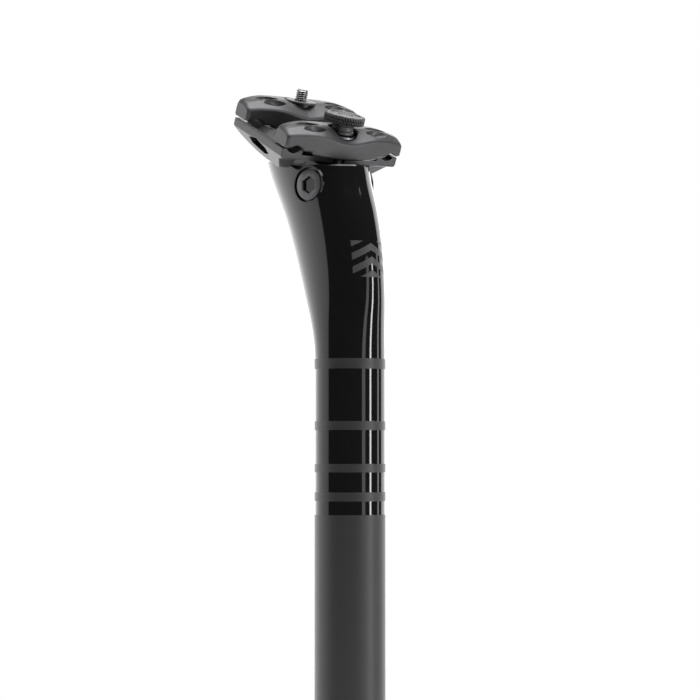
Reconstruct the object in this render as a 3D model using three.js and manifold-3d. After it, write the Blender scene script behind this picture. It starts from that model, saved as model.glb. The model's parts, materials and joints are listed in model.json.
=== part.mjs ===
// Suspension seatpost: a 27.2 mm post whose saddle clamp sits on a rocker arm that swings on a
// transverse axle in the flared head and squeezes an elastomer column inside the post.
// Millimetres. X is across the bike, -Y is forward, +Z is up; the origin is the centre of the bottom face.
import * as THREE from "three";
import { mergeVertices } from "three/addons/utils/BufferGeometryUtils.js";
import Module from "manifold-3d";

const wasm = await Module();
wasm.setup();

// Driving dimensions
const TUBE_R = 13.6;
const WALL = 2.2;
const BORE_R = TUBE_R - WALL;
const HEAD_WALL = 2.4;
const TUBE_FOOT_Z = 2.3;
const RIM_Z = 337.6;
const RIM_RISE_Y = 12;
const RIM_SLOPE = 0.175;
const CLAMP_Y = 22.8;
const CLAMP_Z = 351;
const CLAMP_TILT = THREE.MathUtils.degToRad(25);
const PIVOT_Y = 8.6;
const PIVOT_Z = 330;
const BOSS_R = 7.6;
const BOSS_RECESS_R = 6.9;
const BOSS_DEPTH = 1.4;
const BOSS_TOE = 15;
const BOSS_X = 13.9;
const BOSS_Y = 8.3;
const PAD_X = 10.1;
const AXLE_R = 3.2;
const AXLE_HALF = 11;
const ROCKER_HALF = 8.5;
const SPRING_TILT = THREE.MathUtils.degToRad(25);
const SPRING_Y = 6;
const SPRING_Z = 285;
const SPRING_R = 8;
const SPRING_TOP = 38.3;
const RAIL_R = 3.65;
const RAIL_X = 22;
const RAIL_BITE = 1.45;
const CRADLE_LIP = -0.4;
const BAR_LIP = 0.5;
const CLAMP_HALF_X = 27;
const BAR_OFFSET = 15.6;
const STUD_R = 2.5;
const STUD_NECK_R = 1.1;
const BARREL_H = -9;
const BARREL_R = 1.8;
const BARREL_ROOM = 0.9;
const FRONT_STUD = { at: -16.2, lean: 5 };
const REAR_STUD = { at: 15.4, lean: 8 };
const SEAT_R = 12;
const DECK_H = -5.6;
const GAP = 0.3;

// Head sections, bottom to top: height, centre towards the rear, half depth, half width
const HEAD_SECTIONS = [
  [TUBE_FOOT_Z, 0, TUBE_R, TUBE_R],
  [257, 0, TUBE_R, TUBE_R],
  [268, 0.4, 14.1, 13.6],
  [276, 1.4, 15.6, 13.7],
  [285.5, 3.15, 18.3, 13.8],
  [297, 5.8, 20.7, 14.0],
  [308.5, 9.0, 22.4, 14.4],
  [320, 13.3, 23.9, 14.8],
  [331.6, 19.0, 25.5, 15.2],
  [337.6, 21.5, 26.4, 15.5],
  [348, 25.2, 27.8, 15.8],
];

// Clamp bar sections from the end to the middle: distance from the middle, half depth, heights of the front edge,
// the rear edge and the crown
const BAR_SECTIONS = [
  [27, 4.7, 5.6, 6.2, 6.6],
  [25, 5.0, 6.0, 7.2, 7.6],
  [21, 5.6, 6.6, 8.2, 8.6],
  [17.6, 6.1, 6.9, 8.7, 9.1],
  [15, 6.5, 7.0, 8.8, 9.3],
  [12, 6.9, 6.9, 8.8, 9.3],
  [8, 7.4, 6.3, 8.7, 9.1],
  [4, 7.8, 5.5, 8.6, 8.9],
  [0, 8.0, 5.1, 8.5, 8.8],
];

// Materials
const finish = (color, roughness, metalness) => new THREE.MeshStandardMaterial({ color, roughness, metalness });
const GLOSS_BLACK = () => finish(0x101114, 0.12, 0.1);
const FORGED_GREY = () => finish(0x4a4d51, 0.45, 0.9);
const STEEL = () => finish(0xa9abae, 0.3, 1);
const BLACK_STEEL = () => finish(0x1b1c1f, 0.4, 0.8);
const BRONZE = () => finish(0x8f6b3b, 0.5, 0.8);
const RUBBER = () => finish(0x151515, 0.9, 0);
const ELASTOMER = () => finish(0x8c2a22, 0.6, 0);
const PLASTIC = () => finish(0x202124, 0.6, 0);

// Solids
function solid(geometry) {
  geometry.deleteAttribute("normal");
  geometry.deleteAttribute("uv");
  const merged = mergeVertices(geometry, 1e-4);
  const vertProperties = new Float32Array(merged.attributes.position.array);
  const triVerts = new Uint32Array(merged.index.array);
  return new wasm.Manifold(new wasm.Mesh({ numProp: 3, vertProperties, triVerts }));
}

function geometryOf(manifold) {
  const mesh = manifold.getMesh();
  const geometry = new THREE.BufferGeometry();
  geometry.setAttribute("position", new THREE.BufferAttribute(mesh.vertProperties, 3));
  geometry.setIndex(new THREE.BufferAttribute(mesh.triVerts, 1));
  return geometry;
}

// An outline in (Y, Z) pushed along X between two stations
function prismX(points, x0, x1) {
  const shape = new THREE.Shape(points.map(([y, z]) => new THREE.Vector2(y, z)));
  const geometry = new THREE.ExtrudeGeometry(shape, { depth: x1 - x0, bevelEnabled: false });
  const axes = new THREE.Matrix4().makeBasis(
    new THREE.Vector3(0, 1, 0),
    new THREE.Vector3(0, 0, 1),
    new THREE.Vector3(1, 0, 0),
  );
  geometry.applyMatrix4(axes);
  geometry.translate(x0, 0, 0);
  return solid(geometry);
}

function box(x0, x1, y0, y1, z0, z1) {
  const geometry = new THREE.BoxGeometry(x1 - x0, y1 - y0, z1 - z0);
  geometry.translate((x0 + x1) / 2, (y0 + y1) / 2, (z0 + z1) / 2);
  return solid(geometry);
}

function rodX(radius, x0, x1, y = 0, z = 0, sides = 24) {
  const geometry = new THREE.CylinderGeometry(radius, radius, x1 - x0, sides);
  geometry.rotateZ(-Math.PI / 2);
  geometry.translate((x0 + x1) / 2, y, z);
  return solid(geometry);
}

function rodY(radius, y0, y1, x, z, sides = 32) {
  const geometry = new THREE.CylinderGeometry(radius, radius, y1 - y0, sides);
  geometry.translate(x, (y0 + y1) / 2, z);
  return solid(geometry);
}

function rodZ(radius, z0, z1, y = 0, sides = 32) {
  const geometry = new THREE.CylinderGeometry(radius, radius, z1 - z0, sides);
  geometry.rotateX(Math.PI / 2);
  geometry.translate(0, y, (z0 + z1) / 2);
  return solid(geometry);
}

// A turned piece about Z from its (radius, height) profile
function turned(profile, sides = 24) {
  const geometry = new THREE.LatheGeometry(profile.map(([r, z]) => new THREE.Vector2(r, z)), sides);
  geometry.rotateX(Math.PI / 2);
  return solid(geometry);
}

function ring(inner, outer, z0, z1, sides = 24) {
  return turned([[inner, z0], [outer, z0], [outer, z1], [inner, z1], [inner, z0]], sides);
}

function ringX(inner, outer, x0, x1) {
  return rodX(outer, x0, x1).subtract(rodX(inner, x0 - 1, x1 + 1));
}

// Rings of equal point count joined into one closed body
function loft(rings) {
  const count = rings[0].length;
  const positions = rings.flat(2);
  const index = [];
  for (let r = 0; r < rings.length - 1; r += 1) {
    for (let i = 0; i < count; i += 1) {
      const a = r * count + i;
      const b = r * count + ((i + 1) % count);
      index.push(a, b, b + count, a, b + count, a + count);
    }
  }
  const last = (rings.length - 1) * count;
  for (let i = 1; i < count - 1; i += 1) {
    index.push(0, i + 1, i);
    index.push(last, last + i, last + i + 1);
  }
  const geometry = new THREE.BufferGeometry();
  geometry.setAttribute("position", new THREE.Float32BufferAttribute(positions, 3));
  geometry.setIndex(index);
  return solid(geometry);
}

function ellipseRing(z, centreY, halfDepth, halfWidth, sides = 44) {
  const points = [];
  for (let i = 0; i < sides; i += 1) {
    const angle = (i / sides) * Math.PI * 2;
    points.push([halfWidth * Math.cos(angle), centreY + halfDepth * Math.sin(angle), z]);
  }
  return points;
}

// The clamp frame: origin between the rail centres, Y along the rails to the rear, Z square to them
const toClamp = (y, z) => {
  const dy = y - CLAMP_Y;
  const dz = z - CLAMP_Z;
  const c = Math.cos(CLAMP_TILT);
  const s = Math.sin(CLAMP_TILT);
  return [dy * c + dz * s, -dy * s + dz * c];
};
const [PIVOT_S, PIVOT_H] = toClamp(PIVOT_Y, PIVOT_Z);

function named(name, manifold, material) {
  const mesh = new THREE.Mesh(geometryOf(manifold), material);
  mesh.name = name;
  return mesh;
}

// A piece made along X, set square to one of the two bosses; from and to run outward from the boss face
function onBoss(side, radius, from, to, sides = 24) {
  const along = [side * from, side * to].sort((a, b) => a - b);
  return rodX(radius, ...along, 0, 0, sides).rotate([0, 0, -side * BOSS_TOE]).translate([side * BOSS_X, BOSS_Y, PIVOT_Z]);
}

// Post
function postBody() {
  const outer = loft(HEAD_SECTIONS.map(([z, y, a, b]) => ellipseRing(z, y, a, b)));
  const cavitySections = HEAD_SECTIONS.slice(2).map(([z, y, a, b]) => [z, y, a - HEAD_WALL, b - HEAD_WALL]);
  const ledge = box(-14, 14, -14, 5.4, 311, 318.6);
  const cavity = loft(cavitySections.map(([z, y, a, b]) => ellipseRing(z, y, a, b))).subtract(ledge);
  const eyeRoom = box(-PAD_X, PAD_X, 1.2, 17, 321.5, RIM_Z + 4);
  const rimRear = 60;
  const aboveRim = [[-30, RIM_Z], [RIM_RISE_Y, RIM_Z], [rimRear, RIM_Z + (rimRear - RIM_RISE_Y) * RIM_SLOPE],
    [rimRear, 360], [-30, 360]];
  const swingNotch = box(-9.8, 9.8, 30, rimRear, 336.8, 360);
  let body = outer.subtract(rodZ(BORE_R, TUBE_FOOT_Z - 1, 270, 0, 44)).subtract(cavity);
  for (const side of [-1, 1]) {
    body = body.add(onBoss(side, BOSS_R, -5.5, 0, 32));
  }
  body = body.subtract(eyeRoom).subtract(prismX(aboveRim, -30, 30)).subtract(swingNotch);
  for (const side of [-1, 1]) {
    body = body.subtract(onBoss(side, BOSS_RECESS_R, -BOSS_DEPTH, 1, 32));
  }
  body = body.subtract(rodX(AXLE_R + GAP, -AXLE_HALF - 0.3, AXLE_HALF + 0.3, PIVOT_Y, PIVOT_Z));
  body = body.subtract(rodX(4.6, -10.8, 10.8, PIVOT_Y, PIVOT_Z));
  return named("post_body", body, GLOSS_BLACK());
}

function endPlug() {
  const profile = [[0, 0], [13.2, 0], [13.5, 0.4], [13.5, 2], [11.1, 2], [11.1, 4], [9.9, 4], [9.9, 5.8],
    [11.1, 5.8], [11.1, 9.4], [10.6, 10], [8.6, 10], [8.6, 3], [0, 3]];
  return named("end_plug", turned(profile, 32), PLASTIC());
}

const endPlugSeal = () => named("end_plug_seal", ring(10.2, 11.1, 4.3, 5.5, 32), RUBBER());

// Spring column
const hexagon = (across, z0, z1) => rodZ(across / Math.sqrt(3), z0, z1, 0, 6);

function preloadScrew() {
  const body = rodZ(11.1, 250, 264.4).subtract(hexagon(8, 249, 258));
  return named("preload_screw", body, BLACK_STEEL());
}

function alongSpring(manifold) {
  const degrees = THREE.MathUtils.radToDeg(SPRING_TILT);
  return manifold.rotate([-degrees, 0, 0]).translate([0, SPRING_Y, SPRING_Z]);
}

function springSeat() {
  const stem = rodZ(10.6, 264.7, 287).subtract(alongSpring(box(-30, 30, -40, 40, 3.4, 60)));
  const disc = alongSpring(rodZ(8.6, 0, 4));
  const socket = alongSpring(rodZ(STUD_R + GAP, -3, 6, 0, 24));
  return named("spring_seat", stem.add(disc).subtract(socket), PLASTIC());
}

const springGuidePin = () => named("spring_guide_pin", alongSpring(rodZ(STUD_R, -2.6, 16, 0, 24)), STEEL());

function elastomerSpring() {
  const bottom = 4.3;
  const waists = 3;
  const pitch = (SPRING_TOP - bottom) / waists;
  const profile = [[STUD_R + GAP, bottom]];
  for (let i = 0; i < waists; i += 1) {
    const z = bottom + i * pitch;
    profile.push([SPRING_R - 0.6, z], [SPRING_R, z + 1], [SPRING_R, z + pitch - 3], [SPRING_R - 1.4, z + pitch - 2]);
    profile.push([SPRING_R - 1.4, z + pitch - 1]);
  }
  profile.push([SPRING_R - 0.6, SPRING_TOP], [STUD_R + GAP, SPRING_TOP], [STUD_R + GAP, bottom]);
  return named("elastomer_spring", alongSpring(turned(profile)), ELASTOMER());
}

const elastomerCap = () =>
  named("elastomer_cap", alongSpring(rodZ(SPRING_R - 0.2, SPRING_TOP + GAP, SPRING_TOP + 3.3)), PLASTIC());

const topoutBumper = () => named("topout_bumper", box(-5, 5, -2, 4.4, 318.9, 324.6), RUBBER());

// Pivot
function axleParts() {
  const axle = rodX(AXLE_R, -AXLE_HALF, AXLE_HALF, PIVOT_Y, PIVOT_Z);
  const parts = [named("pivot_axle", axle, STEEL())];
  for (const [side, label] of [[-1, "left"], [1, "right"]]) {
    const about = (inner, outer, near, far) =>
      ringX(inner, outer, Math.min(side * near, side * far), Math.max(side * near, side * far))
        .translate([0, PIVOT_Y, PIVOT_Z]);
    const socket = onBoss(side, 6 / Math.sqrt(3), -0.8, 1, 6);
    parts.push(named(`pivot_cap_${label}`, onBoss(side, 6, -1.1, -0.1).subtract(socket), BLACK_STEEL()));
    parts.push(named(`axle_bushing_${label}`, about(AXLE_R + 0.25, 4.6, 4.3, 8.3), BRONZE()));
    parts.push(named(`thrust_washer_${label}`, about(AXLE_R + 0.25, 6.2, 8.8, 9.8), BRONZE()));
    parts.push(named(`axle_seal_${label}`, about(AXLE_R + 0.15, 4.3, 10.2, 10.7), RUBBER()));
  }
  return parts;
}

// A piece made about Z, set on a stud's leaning axis in the clamp frame
const onStud = (stud, manifold) => manifold.rotate([-stud.lean, 0, 0]).translate([0, stud.at, 0]);

// Rocker arm, in the clamp frame
function rockerArm() {
  const c = Math.cos(CLAMP_TILT + SPRING_TILT);
  const s = Math.sin(CLAMP_TILT + SPRING_TILT);
  const [baseS, baseH] = toClamp(SPRING_Y, SPRING_Z);
  const onSpring = (across, up) => [baseS + up * s + across * c, baseH + up * c - across * s];
  const foot = SPRING_TOP + 3.6;
  const underEye = [PIVOT_S + 3, PIVOT_H - 5.4];
  const deck = [[-19.4, DECK_H], [-20.6, -8.4], underEye, [-8, -15], [12, -12.3], [18.4, -12], [19.2, -11],
    [19.2, DECK_H]];
  const arm = [[-19, -10], underEye, onSpring(-7.4, foot), onSpring(6.8, foot), [3, -20], [12.5, -11.5]];
  let body = prismX(deck, -ROCKER_HALF, ROCKER_HALF).add(prismX(arm, -5.5, 5.5));
  body = body.add(rodX(6.3, -ROCKER_HALF, ROCKER_HALF, PIVOT_S, PIVOT_H, 40));
  const nose = [[-9.4, -5.2], [-3, -5.2], [0, 0], [-5, 2], [-9, 0.5]];
  const noseInClamp = nose.map(([y, z]) => toClamp(PIVOT_Y + y, PIVOT_Z + z));
  body = body.add(prismX(noseInClamp, -4.5, 4.5));
  body = body.subtract(rodX(SEAT_R + GAP, -10, 10, 0, 0, 64));
  body = body.subtract(rodX(AXLE_R + GAP, -10, 10, PIVOT_S, PIVOT_H));
  for (const side of [-1, 1]) {
    body = body.subtract(rodX(4.9, Math.min(side * 4, side * 10), Math.max(side * 4, side * 10), PIVOT_S, PIVOT_H));
  }
  const pocket = (half) => rodX(BARREL_R + BARREL_ROOM, -half, half, 0, BARREL_H);
  body = body.subtract(onStud(FRONT_STUD, pocket(3.9))).subtract(onStud(FRONT_STUD, rodZ(3, BARREL_H, 0)));
  body = body.subtract(onStud(REAR_STUD, pocket(10))).subtract(onStud(REAR_STUD, rodZ(3, BARREL_H, 0)));
  return named("rocker_arm", body, FORGED_GREY());
}

// Saddle clamp, in the clamp frame
function lowerCradle() {
  const front = -18.5;
  const rear = 19;
  const flank = [[front, CRADLE_LIP], [front, -4.3], [-16.4, -4.7], [-15, -5.6], [-12, -9.6], [-10.8, -10.3],
    [-8, -10.4], [-2, -10.2], [5, -9.4], [11, -7.8], [16, -5.8], [18.4, -4.2], [rear, -3.2], [rear, CRADLE_LIP]];
  const window = [[-5.9, -6.7], [-2.2, -7.8], [6, -6.2], [7.2, -4.2], [1.2, -2.9], [-5.3, -4.7]];
  const taper = [[27.2, -3.2], [32, -3.2], [32, -11], [21.1, -11]];
  let body = box(-18, 18, front, rear, -4.4, -2.4);
  body = body.add(box(-18, 18, -6.6, 6.6, -4.4, -0.4));
  body = body.add(rodX(SEAT_R, -8, 8, 0, 0, 64).intersect(box(-9, 9, -11, 11, -13, -3)));
  for (const side of [-1, 1]) {
    const span = (from, to) => [Math.min(side * from, side * to), Math.max(side * from, side * to)];
    body = body.add(prismX(flank, ...span(17.4, CLAMP_HALF_X)));
    body = body.add(box(...span(13, 18), -6, 6, -3, 0.1));
    const corners = side > 0 ? taper : taper.toReversed();
    body = body.subtract(loft([-30, 30].map((y) => corners.map(([x, h]) => [side * x, y, h]))));
    body = body.subtract(prismX(window, ...span(21.2, CLAMP_HALF_X + 1)));
    body = body.subtract(rodY(RAIL_R, -30, 30, side * RAIL_X, CRADLE_LIP - RAIL_BITE + RAIL_R));
  }
  for (const stud of [FRONT_STUD, REAR_STUD]) {
    body = body.subtract(onStud(stud, rodZ(3.2, -12, 2)));
  }
  return named("lower_cradle", body, FORGED_GREY());
}

// Boat-shaped bar across both rails: high shoulders, a dip round the stud, a crowned top and a belly
function clampBar(name, offset, stud, holeR, sinkR, sinkFloor) {
  const sections = [...BAR_SECTIONS.map(([x, ...rest]) => [-x, ...rest]), ...BAR_SECTIONS.toReversed().slice(1)];
  const rings = sections.map(([x, half, front, rear, crown]) => {
    const away = Math.abs(x);
    const bottom = away < 16 ? -1.8 + 0.7 * (away / 15) ** 2 : BAR_LIP;
    const outline = [[half - 0.5, bottom], [half, bottom + 0.6], [half, rear - 0.6], [half - 0.6, rear],
      [half * 0.5, crown - 0.2], [half * 0.1, crown], [-half * 0.3, crown - 0.2], [-half + 0.6, front],
      [-half, front - 0.6], [-half, bottom + 0.6], [-half + 0.5, bottom]];
    return outline.map(([s, h]) => [x, offset + s, h]);
  });
  let body = loft(rings);
  for (const side of [-1, 1]) {
    body = body.subtract(rodY(RAIL_R, -40, 40, side * RAIL_X, BAR_LIP + RAIL_BITE - RAIL_R));
  }
  body = body.subtract(onStud(stud, rodZ(holeR, -4, 12)));
  body = body.subtract(onStud(stud, rodZ(sinkR, sinkFloor, 12)));
  return named(name, body, FORGED_GREY());
}

function threadedStud(top) {
  const neck = rodZ(STUD_NECK_R, BARREL_H - 1.5, BARREL_H + BARREL_R + 1, 0, 16);
  const threaded = rodZ(STUD_R, BARREL_H + BARREL_R + 0.4, top - 0.6, 0, 24);
  return neck.add(threaded).add(rodZ(STUD_R - 0.5, top - 1, top, 0, 24));
}

function anchorBarrel() {
  const hole = rodZ(STUD_NECK_R + GAP, BARREL_H - 5, 0, 0, 16);
  return rodX(BARREL_R, -3.6, 3.6, 0, BARREL_H).subtract(hole);
}

function thumbNut() {
  const grips = 24;
  let knob = rodZ(8, 11.2, 14.5, 0, 48).add(rodZ(4.5, 6.8, 11.5));
  for (let i = 0; i < grips; i += 1) {
    const angle = (i / grips) * Math.PI * 2;
    knob = knob.subtract(rodZ(0.35, 10, 16, 0, 6).translate([8 * Math.cos(angle), 8 * Math.sin(angle), 0]));
  }
  return knob.subtract(rodZ(STUD_R + GAP, 5, 13.6, 0, 24));
}

function clampFasteners() {
  const hole = STUD_R + GAP;
  const rearNut = turned([[hole, 4.6], [3.9, 4.6], [3.9, 8.6], [6, 8.6], [6, 9.6], [hole, 9.6], [hole, 4.6]]);
  return [
    named("front_stud", onStud(FRONT_STUD, threadedStud(13.2)), STEEL()),
    named("rear_stud", onStud(REAR_STUD, threadedStud(14)), STEEL()),
    named("front_anchor_barrel", onStud(FRONT_STUD, anchorBarrel()), BLACK_STEEL()),
    named("rear_anchor_barrel", onStud(REAR_STUD, anchorBarrel()), BLACK_STEEL()),
    named("front_washer", onStud(FRONT_STUD, ring(hole, 5.6, 5.5, 6.5)), STEEL()),
    named("thumb_nut", onStud(FRONT_STUD, thumbNut()), FORGED_GREY()),
    named("rear_flange_nut", onStud(REAR_STUD, rearNut), STEEL()),
  ];
}

const clamp = new THREE.Group();
clamp.position.set(0, CLAMP_Y, CLAMP_Z);
clamp.rotation.x = CLAMP_TILT;
clamp.add(rockerArm(), lowerCradle());
clamp.add(clampBar("upper_clamp_front", -BAR_OFFSET, FRONT_STUD, 3.1, 6, 5.2));
clamp.add(clampBar("upper_clamp_rear", BAR_OFFSET, REAR_STUD, 4.2, 6.4, 8.3));
clamp.add(...clampFasteners());

const pivot = new THREE.Group();
pivot.add(...axleParts());

const seatpost = new THREE.Group();
seatpost.name = "suspension_seatpost";
seatpost.add(postBody(), endPlug(), endPlugSeal(), preloadScrew(), springSeat(), springGuidePin());
seatpost.add(elastomerSpring(), elastomerCap(), topoutBumper(), pivot, clamp);

export default seatpost;
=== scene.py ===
"""Looks of a suspension seatpost: fine meshes, materials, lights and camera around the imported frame."""
import json
import math

import bmesh
import bpy
from mathutils import Matrix, Vector


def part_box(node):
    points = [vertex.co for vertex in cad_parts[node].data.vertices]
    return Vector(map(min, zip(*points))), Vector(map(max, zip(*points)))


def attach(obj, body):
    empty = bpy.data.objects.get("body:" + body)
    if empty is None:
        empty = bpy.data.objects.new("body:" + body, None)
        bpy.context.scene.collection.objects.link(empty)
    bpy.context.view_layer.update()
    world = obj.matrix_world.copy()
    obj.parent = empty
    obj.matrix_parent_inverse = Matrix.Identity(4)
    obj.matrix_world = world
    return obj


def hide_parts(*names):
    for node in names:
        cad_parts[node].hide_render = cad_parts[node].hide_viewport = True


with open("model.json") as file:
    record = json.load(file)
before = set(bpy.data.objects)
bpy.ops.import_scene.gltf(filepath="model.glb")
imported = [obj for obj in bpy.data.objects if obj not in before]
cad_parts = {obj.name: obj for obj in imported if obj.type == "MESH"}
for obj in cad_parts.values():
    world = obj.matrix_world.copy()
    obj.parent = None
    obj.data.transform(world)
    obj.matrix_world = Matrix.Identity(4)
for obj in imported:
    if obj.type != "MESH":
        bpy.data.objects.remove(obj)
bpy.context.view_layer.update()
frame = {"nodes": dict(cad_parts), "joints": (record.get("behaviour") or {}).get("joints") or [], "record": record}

MM = 0.001
TURN = 2 * math.pi

# ---- Places and sizes in millimetres: the joints' places come from the frame, and sizes follow the CAD
JOINTS = {joint["name"]: joint for joint in frame["joints"]}
PIVOT = Vector(JOINTS["rocker_pivot"]["pos_m"]) / MM
PIVOT_AXIS = (PIVOT.y, PIVOT.z)
CLAMP = Vector(JOINTS["cradle_tilt"]["pos_m"]) / MM
CLAMP_TILT = math.radians(25)
CLAMP_FRAME = Matrix.Translation(CLAMP) @ Matrix.Rotation(CLAMP_TILT, 4, "X")
GAP = 0.3
TUBE_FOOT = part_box("post_body")[0].z / MM
TUBE_R = 13.6
WALL = 2.2
HEAD_WALL = 2.4
RIM_Z = 337.6
RIM_RISE_Y = 12
RIM_SLOPE = 0.175
RIM_BLEND = 25
EYE_ROOM_X = 10.1
BOSS_R = 7.6
BOSS_RECESS_R = 6.9
BOSS_DEPTH = 1.4
BOSS_TOE = math.radians(15)
BOSS_CENTRE = Vector((13.9, 8.3, PIVOT.z))
AXLE_R = 3.2
AXLE_HALF = 11
BUSHING_R = 4.6
EYE_BORE_R = 4.9
KEY_ACROSS = 6
ROCKER_HALF = 8.5
DECK_H = -5.6
SPRING_TILT = math.radians(25)
SPRING_FOOT = (6, 285)
SPRING_REACH = 41.9
RAIL_R = 3.65
RAIL_X = 22
RAIL_BITE = 1.45
SEAT_R = 12
CRADLE_LIP = -0.4
BAR_LIP = 0.5
BAR_INNER_LIP = -0.1
CLAMP_HALF_X = 27
BAR_OFFSET = 15.6
STUD_R = 2.5
STUD_NECK_R = 1.1
BARREL_H = -9
POCKET_R = 2.7
FRONT_STUD = CLAMP_FRAME @ Matrix.Translation((0, -16.2, 0)) @ Matrix.Rotation(math.radians(-5), 4, "X")
REAR_STUD = CLAMP_FRAME @ Matrix.Translation((0, 15.4, 0)) @ Matrix.Rotation(math.radians(-8), 4, "X")
GLOSS_FOOT = 203
BANDS = ((208.2, 211.6), (219.2, 222.4), (235.3, 238.7), (258.7, 262.6))
GRAPHIC = (293.5, 307.4)

# Clamp bar sections: distance from the middle, half depth, heights of front edge, rear edge and crown
BAR = (
    (0, 8.0, 5.1, 8.5, 8.8),
    (4, 7.8, 5.5, 8.6, 8.9),
    (8, 7.4, 6.3, 8.7, 9.1),
    (12, 6.9, 6.9, 8.8, 9.3),
    (15, 6.5, 7.0, 8.8, 9.3),
    (17.6, 6.1, 6.9, 8.7, 9.1),
    (21, 5.6, 6.6, 8.2, 8.6),
    (25, 5.0, 6.0, 7.2, 7.6),
    (27, 4.7, 5.6, 6.2, 6.6),
)

# Head sections: height, centre towards the rear, half depth, half width
HEAD = (
    (TUBE_FOOT, 0, TUBE_R, TUBE_R),
    (120, 0, TUBE_R, TUBE_R),
    (257, 0, TUBE_R, TUBE_R),
    (268, 0.4, 14.1, 13.6),
    (276, 1.4, 15.6, 13.7),
    (285.5, 3.15, 18.3, 13.8),
    (297, 5.8, 20.7, 14.0),
    (308.5, 9.0, 22.4, 14.4),
    (320, 13.3, 23.9, 14.8),
    (331.6, 19.0, 25.5, 15.2),
    (337.6, 21.5, 26.4, 15.5),
    (348, 25.1, 27.6, 15.8),
)


# ---- Mesh building
def make(name, points, faces, matrix=Matrix.Identity(4)):
    """A mesh object from points in millimetres, placed by a matrix that is in millimetres too."""
    mesh = bpy.data.meshes.new(name)
    mesh.from_pydata([(matrix @ Vector(p)) * MM for p in points], [], faces)
    mesh.validate()
    item = bpy.data.objects.new(name, mesh)
    bpy.context.scene.collection.objects.link(item)
    return item


def skin(rings, closed=False):
    """Faces over rings of equal point count: capped at both ends, or joined end to end."""
    count = len(rings[0])
    points = [p for ring in rings for p in ring]
    faces = []
    for r in range(len(rings) if closed else len(rings) - 1):
        here = r * count
        there = ((r + 1) % len(rings)) * count
        for i in range(count):
            j = (i + 1) % count
            faces.append((here + i, here + j, there + j, there + i))
    if not closed:
        faces.append(tuple(range(count - 1, -1, -1)))
        faces.append(tuple(range((len(rings) - 1) * count, len(rings) * count)))
    return points, faces


def ring_at(z, sides, radius_at):
    """A ring about Z at a height, whose radius depends on the share of a turn gone round."""
    ring = []
    for i in range(sides):
        radius, angle = radius_at(i / sides), TURN * i / sides
        ring.append((radius * math.cos(angle), radius * math.sin(angle), z))
    return ring


def circle(radius, z, sides):
    return ring_at(z, sides, lambda share: radius)


def turned(name, profile, sides=96, closed=False, matrix=Matrix.Identity(4)):
    """A turned piece about Z from (radius, height) pairs, bottom to top; closed for a ring."""
    rings = [circle(max(r, 1e-3), z, sides) for r, z in profile]
    return make(name, *skin(rings, closed), matrix)


def along_x(centre=(0, 0), side=1):
    """Turns a piece made about Z to lie along X through a point (y, z), with its top on the given side."""
    return Matrix.Translation((0, centre[0], centre[1])) @ Matrix.Rotation(side * math.pi / 2, 4, "Y")


def rod_x(radius, x0, x1, centre=(0, 0), matrix=Matrix.Identity(4), sides=96):
    return turned("cutter", ((radius, x0), (radius, x1)), sides, matrix=matrix @ along_x(centre))


def rod_y(radius, y0, y1, x, z, matrix=Matrix.Identity(4)):
    turn = Matrix.Translation((x, 0, z)) @ Matrix.Rotation(-math.pi / 2, 4, "X")
    return turned("cutter", ((radius, y0), (radius, y1)), matrix=matrix @ turn)


def rod_z(radius, z0, z1, matrix=Matrix.Identity(4)):
    return turned("cutter", ((radius, z0), (radius, z1)), matrix=matrix)


def prism(outline, x0, x1, matrix=Matrix.Identity(4)):
    """An outline of (y, z) points pushed along X."""
    return make("cutter", *skin([[(x, y, z) for y, z in outline] for x in (x0, x1)]), matrix)


def block(x0, x1, y0, y1, z0, z1, matrix=Matrix.Identity(4)):
    return prism(((y0, z0), (y1, z0), (y1, z1), (y0, z1)), x0, x1, matrix)


def span(side, near, far):
    """The X range from near to far on the left (-1) or the right (1)."""
    return min(side * near, side * far), max(side * near, side * far)


def settle(item):
    """Applies an object's modifiers to its mesh."""
    depsgraph = bpy.context.evaluated_depsgraph_get()
    mesh = bpy.data.meshes.new_from_object(item.evaluated_get(depsgraph))
    item.modifiers.clear()
    old = item.data
    item.data = mesh
    mesh.name = item.name
    bpy.data.meshes.remove(old)
    return item


def outward(item):
    """Turns every face of a closed mesh to face out."""
    shape = bmesh.new()
    shape.from_mesh(item.data)
    bmesh.ops.recalc_face_normals(shape, faces=shape.faces)
    shape.to_mesh(item.data)
    shape.free()
    return item


def combine(item, other, operation):
    """Joins another solid to this one, cuts it away, or keeps what both share."""
    outward(item)
    outward(other)
    modifier = item.modifiers.new("combine", "BOOLEAN")
    modifier.operation = operation
    modifier.solver = "EXACT"
    modifier.object = other
    settle(item)
    bpy.data.objects.remove(other)
    return item


def cut(item, *others):
    for other in others:
        combine(item, other, "DIFFERENCE")
    return item


def join(item, *others):
    for other in others:
        combine(item, other, "UNION")
    return item


def forge(item, voxel=0.25, passes=4):
    """Rounds every edge of a solid the way a forging's edges are rounded."""
    remesh = item.modifiers.new("remesh", "REMESH")
    remesh.mode = "VOXEL"
    remesh.voxel_size = voxel * MM
    relax = item.modifiers.new("relax", "SMOOTH")
    relax.factor = 0.5
    relax.iterations = passes
    settle(item)
    for face in item.data.polygons:
        face.use_smooth = True
    return item


def shade(item, angle=30):
    """Smooth shading that keeps the edges sharper than an angle."""
    mesh = item.data
    for face in mesh.polygons:
        face.use_smooth = True
    mesh.set_sharp_from_angle(angle=math.radians(angle))
    return item


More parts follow.
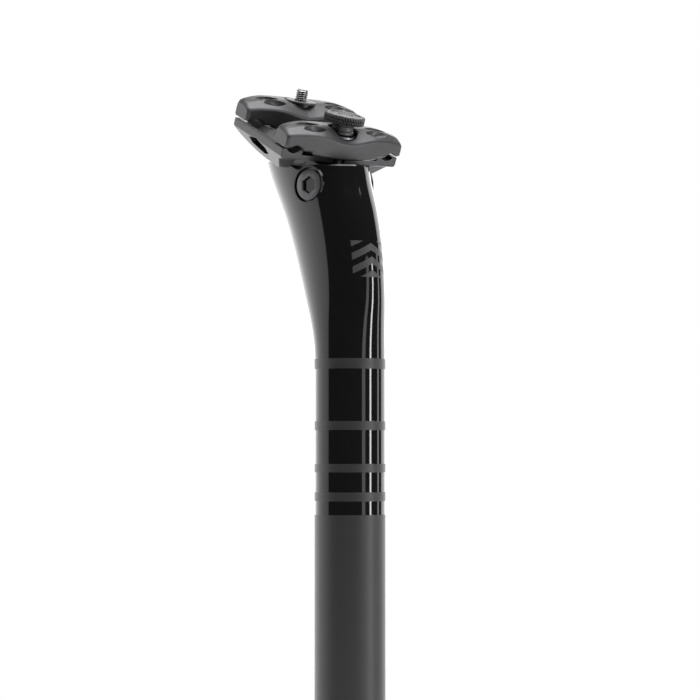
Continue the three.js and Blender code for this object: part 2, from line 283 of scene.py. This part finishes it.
# ---- Materials
class Nodes:
    """A material's node tree, with short calls to add and join nodes."""

    def __init__(self, name, roughness, metallic=0.0):
        self.material = bpy.data.materials.new(name)
        self.material.use_nodes = True
        self.tree = self.material.node_tree
        self.shader = self.tree.nodes["Principled BSDF"]
        self.shader.inputs["Roughness"].default_value = roughness
        self.shader.inputs["Metallic"].default_value = metallic
        self.place = self.add("ShaderNodeTexCoord").outputs["Object"]

    def add(self, kind, **values):
        node = self.tree.nodes.new(kind)
        for key, value in values.items():
            setattr(node, key, value)
        return node

    def feed(self, socket, value):
        if isinstance(value, bpy.types.NodeSocket):
            self.tree.links.new(value, socket)
        else:
            socket.default_value = value

    def math(self, operation, *values):
        node = self.add("ShaderNodeMath", operation=operation)
        for socket, value in zip(node.inputs, values):
            self.feed(socket, value)
        return node.outputs[0]

    def noise(self, size_mm, detail=3.0):
        """Soft noise from 0 to 1 whose blotches are about size_mm across."""
        node = self.add("ShaderNodeTexNoise")
        self.feed(node.inputs["Vector"], self.place)
        node.inputs["Scale"].default_value = 1 / (size_mm * MM)
        node.inputs["Detail"].default_value = detail
        return node.outputs["Fac"]

    def ranged(self, value, low, high):
        """Low to high as a 0 to 1 value goes from 0 to 1."""
        node = self.add("ShaderNodeMapRange")
        self.feed(node.inputs["Value"], value)
        node.inputs["To Min"].default_value = low
        node.inputs["To Max"].default_value = high
        return node.outputs[0]

    def mix(self, factor, first, second):
        node = self.add("ShaderNodeMix", data_type="RGBA")
        self.feed(node.inputs["Factor"], factor)
        self.feed(node.inputs[6], first)
        self.feed(node.inputs[7], second)
        return node.outputs[2]

    def bump(self, height, depth_mm, strength=1.0):
        node = self.add("ShaderNodeBump")
        node.inputs["Strength"].default_value = strength
        node.inputs["Distance"].default_value = depth_mm * MM
        self.feed(node.inputs["Height"], height)
        self.feed(self.shader.inputs["Normal"], node.outputs[0])

    def paint(self, socket, value):
        self.feed(self.shader.inputs[socket], value)


def grey(value, alpha=1.0):
    return (value, value, value, alpha)


def post_finish():
    """Gloss black lacquer with satin bands and a chevron graphic, over a satin black tube."""
    stripe_pitch, stripe_share, stripe_slope, graphic_half = 5.2, 0.52, 0.55, 7.2
    nodes = Nodes("post_finish", 0.1)
    nodes.shader.inputs["IOR"].default_value = 1.5
    split = nodes.add("ShaderNodeSeparateXYZ")
    nodes.feed(split.inputs[0], nodes.place)
    x, y, z = (nodes.math("DIVIDE", out, MM) for out in split.outputs)

    def within(low, high):
        return nodes.math("COMPARE", z, (low + high) / 2, (high - low) / 2)

    satin = nodes.math("LESS_THAN", z, GLOSS_FOOT)
    for low, high in BANDS:
        satin = nodes.math("MAXIMUM", satin, within(low, high))
    wide = nodes.math("ABSOLUTE", x)
    climb = nodes.math("MULTIPLY", wide, stripe_slope)
    rise = nodes.math("ADD", nodes.math("SUBTRACT", z, GRAPHIC[0]), climb)
    along = nodes.math("FRACT", nodes.math("DIVIDE", rise, stripe_pitch))
    stripe = nodes.math("LESS_THAN", along, stripe_share)
    window = nodes.math("MULTIPLY", within(*GRAPHIC), nodes.math("LESS_THAN", wide, graphic_half))
    front = nodes.math("MULTIPLY", window, nodes.math("LESS_THAN", y, 0.0))
    graphic = nodes.math("MULTIPLY", stripe, front)
    dull = nodes.math("MAXIMUM", satin, graphic)
    haze = nodes.noise(9, 4)
    grain = nodes.noise(0.35, 2)
    rough = nodes.add("ShaderNodeMix", data_type="FLOAT")
    nodes.feed(rough.inputs["Factor"], dull)
    nodes.feed(rough.inputs[2], nodes.ranged(haze, 0.045, 0.075))
    nodes.feed(rough.inputs[3], nodes.ranged(grain, 0.4, 0.5))
    nodes.paint("Roughness", rough.outputs[0])
    tone = nodes.mix(dull, grey(0.006), grey(0.022))
    nodes.paint("Base Color", nodes.mix(graphic, tone, grey(0.045)))
    nodes.bump(nodes.math("MULTIPLY", grain, dull), 0.02, 0.35)
    return nodes.material


def metal(name, low, high, roughness, metallic, grain_mm, bump_mm, edge=0.0):
    """Metal or coated metal: blotchy tone, fine grain and, with edge above 0, lighter edges that are partly wear
    and partly a painted highlight.
    """
    wear_and_highlight_from, wear_and_highlight_to, wear_and_highlight_gain = 0.52, 0.6, 2.4
    nodes = Nodes(name, roughness, metallic)
    tone = nodes.mix(nodes.noise(4, 4), (*low, 1), (*high, 1))
    # Lightens the tone where pointiness is high: partly edge wear, partly a painted highlight along the edges.
    if edge:
        wear_and_highlight_range = nodes.add("ShaderNodeMapRange")
        nodes.feed(wear_and_highlight_range.inputs["Value"], nodes.add("ShaderNodeNewGeometry").outputs["Pointiness"])
        wear_and_highlight_range.inputs["From Min"].default_value = wear_and_highlight_from
        wear_and_highlight_range.inputs["From Max"].default_value = wear_and_highlight_to
        wear_and_highlight = nodes.math("MULTIPLY", wear_and_highlight_range.outputs[0], edge)
        wear_and_highlight_tone = tuple(min(1.0, c * wear_and_highlight_gain) for c in high)
        tone = nodes.mix(wear_and_highlight, tone, (*wear_and_highlight_tone, 1))
    nodes.paint("Base Color", tone)
    grain = nodes.noise(grain_mm, 3)
    nodes.paint("Roughness", nodes.ranged(grain, roughness - 0.06, roughness + 0.08))
    nodes.bump(grain, bump_mm, 0.5)
    return nodes.material


def soft(name, low, high, roughness, grain_mm, bump_mm):
    """Rubber or moulded plastic: slight tone change and a fine moulded texture."""
    nodes = Nodes(name, roughness)
    nodes.paint("Base Color", nodes.mix(nodes.noise(3, 3), (*low, 1), (*high, 1)))
    texture = nodes.noise(grain_mm, 4)
    nodes.paint("Roughness", nodes.ranged(texture, roughness - 0.1, roughness + 0.1))
    nodes.bump(texture, bump_mm, 0.6)
    return nodes.material


def rgb(value):
    """A grey with a trace of blue."""
    return (value, value, value * 1.04)


FINISHES = {
    "post_finish": post_finish(),
    # forged_grey's edge=0.15 lightens its edges: a painted edge highlight together with edge wear.
    "forged_grey": metal("forged_grey", rgb(0.062), rgb(0.086), 0.4, 0.55, 0.3, 0.02, edge=0.15),
    "hardware_steel": metal("hardware_steel", rgb(0.2), rgb(0.28), 0.3, 1.0, 0.5, 0.01),
    "dark_steel": metal("dark_steel", rgb(0.11), rgb(0.15), 0.45, 0.7, 0.2, 0.015),
    "bearing_bronze": metal("bearing_bronze", (0.36, 0.21, 0.09), (0.5, 0.32, 0.15), 0.42, 1.0, 0.12, 0.03),
    "seal_rubber": soft("seal_rubber", rgb(0.012), rgb(0.025), 0.65, 0.3, 0.03),
    "spring_elastomer": soft("spring_elastomer", (0.3, 0.03, 0.02), (0.42, 0.06, 0.04), 0.4, 0.6, 0.02),
    "inner_plastic": soft("inner_plastic", rgb(0.016), rgb(0.032), 0.5, 0.15, 0.02),
}
SLOT_OF = {row["node"]: row["material_slot"] for row in frame["record"]["subparts"]}


def dress(item, slot):
    """Gives a piece the material of its slot."""
    item.data.materials.clear()
    item.data.materials.append(FINISHES[slot])


def fit(item, body, node):
    """Gives a finished piece its material, and puts it on its body in place of its CAD node."""
    dress(item, SLOT_OF[node])
    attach(item, body)
    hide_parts(node)


# ---- Curves through tables
def ease(value):
    """Falls smoothly from 1 to 0 as its value goes from 0 to 1."""
    return 0.5 + 0.5 * math.cos(math.pi * max(0.0, min(value, 1.0)))


def between(table, place):
    """The values of a table at a place in its first column, smoothly between its rows."""
    last = len(table) - 1
    i = max(k for k in range(last) if k == 0 or table[k][0] <= place)
    low, high = table[i][0], table[i + 1][0]
    t = (place - low) / (high - low)

    def slope(k, c):
        a, b = table[max(k - 1, 0)], table[min(k + 1, last)]
        return (b[c] - a[c]) / (b[0] - a[0]) * (high - low)

    values = []
    for c in range(1, len(table[0])):
        p0, p1 = table[i][c], table[i + 1][c]
        m0, m1 = (0, 0) if p0 == p1 else (slope(i, c), slope(i + 1, c))
        values.append((2 * t**3 - 3 * t * t + 1) * p0 + (t**3 - 2 * t * t + t) * m0
                      + (3 * t * t - 2 * t**3) * p1 + (t**3 - t * t) * m1)
    return values


# ---- Post
def head_ring(level, inset, sides=160):
    """A ring of the head at a level; near the rim it climbs towards the rear as the rim does."""
    climb = RIM_SLOPE * ease((RIM_Z - level) / RIM_BLEND) if level < RIM_Z else RIM_SLOPE
    passes = 4
    ring = []
    for i in range(sides):
        angle = TURN * i / sides
        z = level
        for _ in range(passes):
            centre, depth, width = between(HEAD, z)
            y = centre + (depth - inset) * math.sin(angle)
            z = level + climb * max(0, y - RIM_RISE_Y)
        ring.append(((width - inset) * math.cos(angle), y, z))
    return ring


def on_boss(side):
    """Turns a piece made about Z so that it faces out of one of the two pivot bosses."""
    centre = Matrix.Translation((side * BOSS_CENTRE.x, BOSS_CENTRE.y, BOSS_CENTRE.z))
    return centre @ Matrix.Rotation(-side * BOSS_TOE, 4, "Z") @ Matrix.Rotation(side * math.pi / 2, 4, "Y")


def post_shell():
    """Tube and flared head in one closed skin: up the outside, over the round rim, down the inside."""
    outside = [60, 120, 180, 230, 250, *range(252, 335, 2)]
    inside = [RIM_Z - 0.5, *range(334, 268, -3)]
    round_r, round_steps, bore_top = 0.9, 6, 262
    rings = [head_ring(TUBE_FOOT, 0.5), head_ring(TUBE_FOOT + 0.5, 0)]
    rings += [head_ring(level, 0) for level in outside]
    for k in range(round_steps + 1):
        angle = math.pi / 2 * k / round_steps
        level = RIM_Z - round_r + round_r * math.sin(angle)
        rings.append(head_ring(level, round_r * (1 - math.cos(angle))))
    rings.append(head_ring(RIM_Z, HEAD_WALL - 0.5))
    rings += [head_ring(level, HEAD_WALL) for level in inside]
    rings += [head_ring(bore_top, WALL), head_ring(TUBE_FOOT, WALL)]
    return make("post_shell", *skin(rings, closed=True))


def post_body():
    """The shell with its bumper ledge and bosses, cut for the rocker's eye and swing and for the axle."""
    body = post_shell()
    core = make("ledge", *skin([head_ring(z, HEAD_WALL - 0.6) for z in (311, 313.5, 316, 318.6)]))
    join(body, combine(core, block(-14, 14, -14, 5.4, 310, 320), "INTERSECT"))
    lip = ((BOSS_R, -5.5), (BOSS_R, -0.4), (BOSS_R - 0.1, -0.15), (BOSS_R - 0.25, 0))
    for side in (-1, 1):
        join(body, turned("boss", lip, 128, matrix=on_boss(side)))
    eye_room = block(-EYE_ROOM_X, EYE_ROOM_X, 1.2, 17, 321.5, RIM_Z + 4)
    swing_notch = block(-9.8, 9.8, 30, 60, 336.8, 360)
    cut(body, eye_room, swing_notch)
    for side in (-1, 1):
        recess = ((BOSS_RECESS_R, -BOSS_DEPTH), (BOSS_RECESS_R, 1))
        cut(body, turned("cutter", recess, 128, matrix=on_boss(side)))
    cut(body, rod_x(AXLE_R + GAP, -AXLE_HALF - GAP, AXLE_HALF + GAP, PIVOT_AXIS))
    cut(body, rod_x(BUSHING_R, -10.8, 10.8, PIVOT_AXIS))
    shade(body, 28)
    fit(body, "post", "post_body")


def end_plug():
    profile = (
        (0, 0), (12.6, 0), (13.1, 0.15), (13.4, 0.5), (13.4, 2), (11.1, 2), (11.1, 4), (9.9, 4), (9.9, 5.8),
        (11.1, 5.8), (11.1, 9.4), (10.6, 10), (8.6, 10), (8.6, 3), (0, 3),
    )
    fit(shade(turned("post_end_plug", profile, 128)), "post", "end_plug")


def pivot_pieces():
    """The hollow axle, and for each end a cup seal and a round cap with a hexagon opening."""
    axle = rod_x(AXLE_R, -AXLE_HALF, AXLE_HALF, PIVOT_AXIS)
    axle.name = "hollow_axle"
    cut(axle, rod_x(2.2, -AXLE_HALF - 1, AXLE_HALF + 1, PIVOT_AXIS))
    fit(shade(axle), "post", "pivot_axle")
    corner_r = KEY_ACROSS / math.sqrt(3)
    socket = ((corner_r, -2), (corner_r, -0.35), (corner_r + 0.35, 0))
    cap_profile = ((5.8, -1.1), (6, -0.95), (6, -0.35), (5.92, -0.18), (5.75, -0.1))
    cup = (
        (0, 11.4), (3.4, 11.4), (3.4, 10.7), (4.3, 10.7), (4.3, 10.2), (3.25, 10.2), (3.25, 11.1),
        (0, 11.1),
    )
    for side, label in ((-1, "left"), (1, "right")):
        cap = turned(f"pivot_cap_{label}_detailed", cap_profile, 128, matrix=on_boss(side))
        cut(cap, turned("cutter", socket, 6, matrix=on_boss(side)))
        fit(shade(cap), "post", f"pivot_cap_{label}")
        seal = turned(f"axle_cup_seal_{label}", cup, 64, matrix=along_x(PIVOT_AXIS, side))
        fit(shade(seal), "post", f"axle_seal_{label}")


# ---- Clamp, in the frame that leans with the saddle rails
def bar(name, node, body, offset, stud, hole_r, sink_r, sink_floor):
    """Boat-shaped bar: high shoulders with leaf-shaped hollows, a dip round the stud, crown and belly."""
    slices, edge, end_run = 108, 0.6, 0.8
    belly_drop, belly_rise, belly_half, belly_blend = -1.8, 0.7, 15, 1.5
    rings = []
    for k in range(slices + 1):
        x = -CLAMP_HALF_X + 2 * CLAMP_HALF_X * k / slices
        away = abs(x)
        half, front, rear, crown = between(BAR, away)
        end = edge * max(0.0, (away - (CLAMP_HALF_X - end_run)) / end_run)
        belly = belly_drop + belly_rise * (away / belly_half) ** 2
        lip = BAR_INNER_LIP if away < RAIL_X else BAR_LIP
        floor = lip + (belly - lip) * ease((away - (belly_half - 1)) / belly_blend)
        outline = (
            (half - edge - end, floor), (half - end, floor + edge), (half - end, rear - 0.7 - end),
            (half - edge - end, rear - end), (half * 0.5, crown - 0.2 - end), (half * 0.1, crown - end),
            (-half * 0.3, crown - 0.2 - end), (-half + edge + end, front - end),
            (-half + end, front - 0.7 - end), (-half + end, floor + edge), (-half + edge + end, floor),
        )
        rings.append([(x, offset + s, h) for s, h in outline])
    item = make(name, *skin(rings), CLAMP_FRAME)
    for side in (-1, 1):
        cut(item, rod_y(RAIL_R, -40, 40, side * RAIL_X, BAR_LIP + RAIL_BITE - RAIL_R, CLAMP_FRAME))
    cut(item, rod_z(hole_r, -4, 14, stud), rod_z(sink_r, sink_floor, 14, stud))
    forge(item, 0.2, 2)
    for side in (-1, 1):
        for row in (-1, 1):
            cut(item, leaf(side, offset, row))
    shade(item, 40)
    fit(item, body, node)


def leaf(side, offset, row):
    """Cutter for one hollow in a bar's shoulder: pointed in plan, shallow outside, steep inside."""
    middle, centre = (14.8, -2.9) if row < 0 else (16.2, 1.1)
    half_length, half_width, steps = 5.8, 1.9, 16
    half = []
    for k in range(steps + 1):
        angle = math.pi * k / steps
        half.append((half_length * math.cos(angle), half_width * math.sin(angle) ** 2))
    plan = half + [(x, -w) for x, w in half[-2:0:-1]]
    rings = []
    for height, shrink, slide in ((12, 1.0, 0.0), (8.7, 1.0, 0.0), (7.6, 0.85, -0.6), (6.7, 0.5, -2.0)):
        x_mid, s_mid = middle + slide, offset + centre
        rings.append([(side * (x_mid + x * shrink), s_mid + w * shrink, height) for x, w in plan])
    return make("cutter", *skin(rings), CLAMP_FRAME)


def lower_cradle():
    """A plate on a round seat, between two flanks that carry the rails and have a window each."""
    front, rear, plate_half, plate_floor = -18.5, 19, 18, -4.4
    flank = (
        (front, CRADLE_LIP), (front, -4.3), (-16.4, -4.7), (-15, -5.6), (-12, -9.6), (-10.8, -10.3),
        (-8, -10.4), (-2, -10.2), (5, -9.4), (11, -7.8), (16, -5.8), (18.4, -4.2), (rear, -3.2),
        (rear, CRADLE_LIP),
    )
    window = ((-5.9, -6.7), (-2.2, -7.8), (6, -6.2), (7.2, -4.2), (1.2, -2.9), (-5.3, -4.7))
    taper = ((27.2, -3.2), (32, -3.2), (32, -11), (21.1, -11))
    item = block(-plate_half, plate_half, front, rear, plate_floor, -2.4, CLAMP_FRAME)
    join(item, block(-plate_half, plate_half, -6.6, 6.6, plate_floor, CRADLE_LIP, CLAMP_FRAME))
    seat = rod_x(SEAT_R, -8, 8, matrix=CLAMP_FRAME, sides=128)
    join(item, combine(seat, block(-9, 9, -11, 11, -13, -3, CLAMP_FRAME), "INTERSECT"))
    for side in (-1, 1):
        join(item, prism(flank, *span(side, 17.4, CLAMP_HALF_X), CLAMP_FRAME))
        join(item, block(*span(side, 13, plate_half), -6, 6, -3, 0.1, CLAMP_FRAME))
        wedge = [[(side * x, y, h) for x, h in taper] for y in (-30, 30)]
        cut(item, make("cutter", *skin(wedge), CLAMP_FRAME))
        cut(item, prism(window, *span(side, 21.2, CLAMP_HALF_X + 1), CLAMP_FRAME))
        cut(item, rod_y(RAIL_R, -30, 30, side * RAIL_X, CRADLE_LIP - RAIL_BITE + RAIL_R, CLAMP_FRAME))
    cut(item, rod_z(3.2, -12, 2, FRONT_STUD), rod_z(3.2, -12, 2, REAR_STUD))
    item.name = "saddle_cradle"
    fit(forge(item, 0.22, 2), "cradle", "lower_cradle")


def to_clamp(y, z):
    """A (y, z) place of the post in the clamp frame."""
    dy, dz = y - CLAMP.y, z - CLAMP.z
    c, s = math.cos(CLAMP_TILT), math.sin(CLAMP_TILT)
    return dy * c + dz * s, -dy * s + dz * c


def rocker():
    """Swinging arm: deck under the cradle, eye round the axle, stop nose and an arm to the spring."""
    c, s = math.cos(CLAMP_TILT + SPRING_TILT), math.sin(CLAMP_TILT + SPRING_TILT)
    base = to_clamp(*SPRING_FOOT)
    pivot = to_clamp(*PIVOT_AXIS)

    def on_spring(across, up):
        return base[0] + up * s + across * c, base[1] + up * c - across * s

    under_eye = (pivot[0] + 3, pivot[1] - 5.4)
    deck = (
        (-19.4, DECK_H), (-20.6, -8.4), under_eye, (-8, -15), (12, -12.3), (18.4, -12), (19.2, -11),
        (19.2, DECK_H),
    )
    heel, toe = on_spring(-7.4, SPRING_REACH), on_spring(6.8, SPRING_REACH)
    arm = ((-19, -10), under_eye, heel, toe, (3, -20), (12.5, -11.5))
    nose_from_pivot = ((-9.4, -5.2), (-3, -5.2), (0, 0), (-5, 2), (-9, 0.5))
    nose = [to_clamp(PIVOT.y + y, PIVOT.z + z) for y, z in nose_from_pivot]
    item = prism(deck, -ROCKER_HALF, ROCKER_HALF, CLAMP_FRAME)
    join(item, prism(arm, -5.5, 5.5, CLAMP_FRAME))
    join(item, rod_x(6.3, -ROCKER_HALF, ROCKER_HALF, pivot, CLAMP_FRAME))
    join(item, prism(nose, -4.5, 4.5, CLAMP_FRAME))
    cut(item, rod_x(SEAT_R + GAP, -10, 10, matrix=CLAMP_FRAME, sides=128))
    cut(item, rod_x(AXLE_R + GAP, -10, 10, pivot, CLAMP_FRAME))
    for side in (-1, 1):
        cut(item, rod_x(EYE_BORE_R, *span(side, 4, 10), pivot, CLAMP_FRAME))
    for stud, half in ((FRONT_STUD, 3.9), (REAR_STUD, 10)):
        cut(item, rod_x(POCKET_R, -half, half, (0, BARREL_H), stud), rod_z(3, BARREL_H, 0, stud))
    item.name = "swing_arm"
    fit(forge(item, 0.25, 3), "rocker", "rocker_arm")


def thread(name, node, stud, high):
    """A threaded stud: a helical ridge that runs out at both ends, a chamfered tip and a plain neck."""
    sides, rows_per_pitch, pitch, depth = 48, 10, 0.8, 0.42
    low, neck_length, run_out = -6.8, 3.7, 0.7
    rows = int((high - low) / pitch * rows_per_pitch)
    rings = [circle(STUD_NECK_R, low - neck_length, sides), circle(STUD_NECK_R, low - 0.01, sides)]
    for k in range(rows + 1):
        z = low + (high - low) * k / rows
        fade = min(1.0, (high - z) / run_out, (z - low) / run_out)

        def radius_at(share):
            phase = (z / pitch - share) % 1.0
            ridge = max(0.0, min(1.0, 2.6 * abs(phase - 0.5) - 0.2))
            return STUD_R - depth + depth * ridge * fade - (1 - fade) * 0.12

        rings.append(ring_at(z, sides, radius_at))
    rings.append(circle(STUD_R - depth - 0.5, high, sides))
    fit(shade(make(name, *skin(rings), stud), 50), "cradle", node)


def thumb_nut():
    """Knurled disc on a collar, hollow for the stud."""
    teeth, rows, twist, depth, chamfer = 44, 24, 1.3, 0.75, 0.25
    sides = 12 * teeth
    low, high, radius = 11.3, 14.3, 8.0
    below = (
        (2.8, 13.6), (2.8, 6.8), (4.2, 6.8), (4.5, 7.1), (4.5, 8.0), (4.2, 8.4), (4.2, 9.9), (4.5, 10.4),
        (5.4, 11.1), (7.2, 11.2),
    )
    above = ((7.0, 14.5), (6.3, 14.5), (6.0, 14.2), (3.2, 14.2), (3.0, 14.0), (0.01, 14.0))
    rings = [circle(r, z, sides) for r, z in below]
    for k in range(rows + 1):
        t = k / rows

        def radius_at(share):
            a, b = share * teeth + twist * t, share * teeth - twist * t
            groove = max(1 - 4 * min(a % 1, 1 - a % 1), 1 - 4 * min(b % 1, 1 - b % 1), 0)
            return radius - depth * groove - chamfer * max(0.0, abs(2 * t - 1) - 0.8) / 0.2

        rings.append(ring_at(low + (high - low) * t, sides, radius_at))
    rings += [circle(r, z, sides) for r, z in above]
    item = make("knurled_thumb_nut", *skin(rings), FRONT_STUD)
    fit(shade(outward(item), 24), "thumb_nut", "thumb_nut")


def small_hardware():
    washer = ((2.8, 5.5), (5.4, 5.5), (5.6, 5.7), (5.6, 6.3), (5.4, 6.5), (2.8, 6.5))
    nut = (
        (2.8, 4.6), (3.9, 4.6), (3.9, 8.6), (5.8, 8.6), (6, 8.75), (6, 9.3), (5.85, 9.45), (3.6, 9.6),
        (2.8, 9.6),
    )
    fit(shade(turned("front_nut_washer", washer, 96, True, FRONT_STUD)), "front_clamp", "front_washer")
    fit(shade(turned("rear_round_nut", nut, 96, True, REAR_STUD)), "rear_nut", "rear_flange_nut")


post_body()
end_plug()
pivot_pieces()
bar("front_saddle_bar", "upper_clamp_front", "front_clamp", -BAR_OFFSET, FRONT_STUD,
    hole_r=3.1, sink_r=6, sink_floor=5.2)
bar("rear_saddle_bar", "upper_clamp_rear", "rear_clamp", BAR_OFFSET, REAR_STUD,
    hole_r=4.2, sink_r=6.4, sink_floor=8.3)
lower_cradle()
rocker()
thread("front_threaded_stud", "front_stud", FRONT_STUD, high=13.2)
thread("rear_threaded_stud", "rear_stud", REAR_STUD, high=14)
thumb_nut()
small_hardware()
for node, item in frame["nodes"].items():
    if not item.hide_render:
        dress(item, SLOT_OF[node])


# ---- Floor, lights and camera
def stage():
    """A pale floor under the post, a dim room light, and a white backdrop that only the camera sees."""
    floor_r, floor_low, floor_top = 700, -6, -1
    floor = turned("studio_floor", ((floor_r, floor_low), (floor_r, floor_top)), 128)
    nodes = Nodes("pale_floor", 0.7)
    nodes.paint("Base Color", nodes.mix(nodes.noise(40, 2), grey(0.8), grey(0.84)))
    floor.data.materials.append(nodes.material)
    room_strength, backdrop_strength = 0.04, 1.0
    world = bpy.data.worlds.new("studio")
    bpy.context.scene.world = world
    world.use_nodes = True
    tree = world.node_tree
    seen = tree.nodes.new("ShaderNodeLightPath")
    room = tree.nodes["Background"]
    room.inputs["Color"].default_value = grey(1.0)
    room.inputs["Strength"].default_value = room_strength
    backdrop = tree.nodes.new("ShaderNodeBackground")
    backdrop.inputs["Color"].default_value = grey(1.0)
    backdrop.inputs["Strength"].default_value = backdrop_strength
    mix = tree.nodes.new("ShaderNodeMixShader")
    tree.links.new(seen.outputs["Is Camera Ray"], mix.inputs[0])
    tree.links.new(room.outputs[0], mix.inputs[1])
    tree.links.new(backdrop.outputs[0], mix.inputs[2])
    tree.links.new(mix.outputs[0], tree.nodes["World Output"].inputs["Surface"])


VIEW_AZIMUTH = -35
AIM = Vector((0, 0, 0.3))

# Soft boxes: name, azimuth from the camera (degrees), distance, height, width, tallness (m) and radiance
PANELS = [(f"left_{k}", -77 - 6 * k, 1.2, 0.35, 0.126, 1.6, 1.15 * 1.07**k) for k in range(13)] + [
    ("left_rear_wall", -174, 1.2, 0.35, 0.95, 1.6, 2.7),
    ("right_fill", 45, 1.5, 0.2, 0.3, 1.1, 1.7),
    ("right_strip", 70, 1.5, 0.1, 0.16, 1.2, 16),
    ("right_wall", 104, 1.5, 0.1, 0.2, 1.2, 2.6),
    ("right_rear_wall", 145, 1.3, 0.3, 1.1, 1.6, 2.2),
    ("overhead", 30, 0.25, 1.5, 1.5, 1.5, 5.2),
]


def panel(name, azimuth, distance, height, width, tall, radiance):
    """A soft box turned to the post, seen from it at an azimuth from the camera's direction."""
    angle = math.radians(VIEW_AZIMUTH + azimuth)
    light = bpy.data.lights.new(name, "AREA")
    light.shape = "RECTANGLE"
    light.size = width
    light.size_y = tall
    light.energy = radiance * math.pi * width * tall
    item = bpy.data.objects.new(name, light)
    item.location = (distance * math.sin(angle), -distance * math.cos(angle), height)
    towards = AIM - item.location
    item.rotation_euler = towards.to_track_quat("-Z", "Y").to_euler()
    item.visible_camera = False
    bpy.context.scene.collection.objects.link(item)


def lights():
    for row in PANELS:
        panel(*row)


def camera():
    """A long lens level with the tube's middle, tilted up a little towards the head."""
    distance, eye_height, tilt_up = 1.0, 0.2243, math.radians(2.4)
    focal_over_sensor = 26 / 7
    angle = math.radians(VIEW_AZIMUTH)
    lens = bpy.data.cameras.new("camera")
    lens.sensor_width = 36
    lens.lens = focal_over_sensor * lens.sensor_width
    lens.clip_start = 0.05
    item = bpy.data.objects.new("camera", lens)
    item.location = (distance * math.sin(angle), -distance * math.cos(angle), eye_height)
    item.rotation_euler = (math.pi / 2 + tilt_up, 0, angle)
    bpy.context.scene.collection.objects.link(item)
    bpy.context.scene.camera = item


stage()
lights()
camera()
bpy.context.scene.view_settings.view_transform = "Standard"
